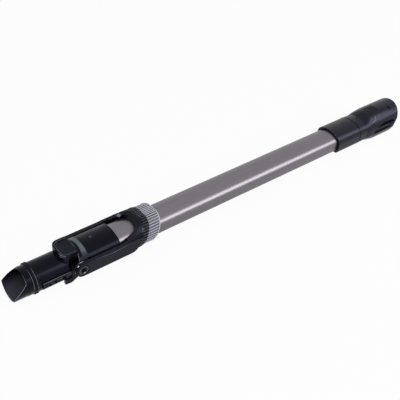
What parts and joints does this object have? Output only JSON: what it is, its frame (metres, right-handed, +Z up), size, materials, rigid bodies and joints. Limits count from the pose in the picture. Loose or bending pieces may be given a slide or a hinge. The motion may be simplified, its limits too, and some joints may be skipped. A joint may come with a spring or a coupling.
{
  "type": "vacuum extension wand",
  "caption": "Vacuum extension wand: D-section metal tube between a fold joint with a round spigot and release button, a ribbed slide collar, and a latched round socket.",
  "frame": {"origin": "middle of the footprint, on the surface the wand lies on", "axes": "+X along the tube from the spigot end to the socket end, +Z up with the domed side of the tube on top, Y across"},
  "size_m": [0.6286, 0.052, 0.0459],
  "materials": {
    "taupe_aluminium": "satin anodised",
    "black_plastic": "gloss moulded",
    "soft_black": "matt moulded",
    "light_grey_plastic": "moulded",
    "slate_plastic": "satin moulded",
    "rubber_black": "moulded",
    "steel_bright": "plain"
  },
  "bodies": {
    "wand": {"wand_tube": "taupe_aluminium", "yoke": "black_plastic", "tube_end_fitting": "slate_plastic", "joint_hose": "rubber_black", "pivot_screws": "steel_bright", "pivot_bushes": "steel_bright", "pivot_washers": "steel_bright", "socket_sleeve": "black_plastic", "neck_plug": "soft_black", "neck_cover": "black_plastic", "socket_core": "black_plastic", "upper_shell": "black_plastic", "lower_shell": "black_plastic", "socket_seal": "rubber_black", "socket_screw": "steel_bright", "latch_spring": "steel_bright"},
    "collar": {"grip_band": "black_plastic", "grip_ring": "light_grey_plastic"},
    "head": {"spigot_pipe": "black_plastic", "bead_ring": "rubber_black", "guide_rails": "soft_black", "hose_cuff": "soft_black", "button_bezel": "black_plastic", "button_spring": "steel_bright", "shoulder_band": "slate_plastic", "joint_cover": "black_plastic"},
    "release_button": {"release_button": "black_plastic"},
    "latch_button": {"latch_button": "black_plastic"}
  },
  "joints": [
    {"name": "fold", "type": "hinge", "parent": "wand", "child": "head", "pos_m": [-0.23364, 0, 0.0221], "axis": [0, -1, 0], "range_deg": [0, 75], "deforming": ["joint_hose"]},
    {"name": "collar_slide", "type": "slide", "parent": "wand", "child": "collar", "axis": [1, 0, 0], "range_m": [0, 0.006]},
    {"name": "release_press", "type": "slide", "parent": "head", "child": "release_button", "axis": [0, 0, -1], "range_m": [0, 0.0015], "stiffness_N_per_m": 1500, "springref_m": -0.001, "deforming": ["button_spring"]},
    {"name": "latch_press", "type": "slide", "parent": "wand", "child": "latch_button", "axis": [0, 0, -1], "range_m": [0, 0.0014], "stiffness_N_per_m": 1200, "springref_m": -0.001, "deforming": ["latch_spring"]}
  ]
}
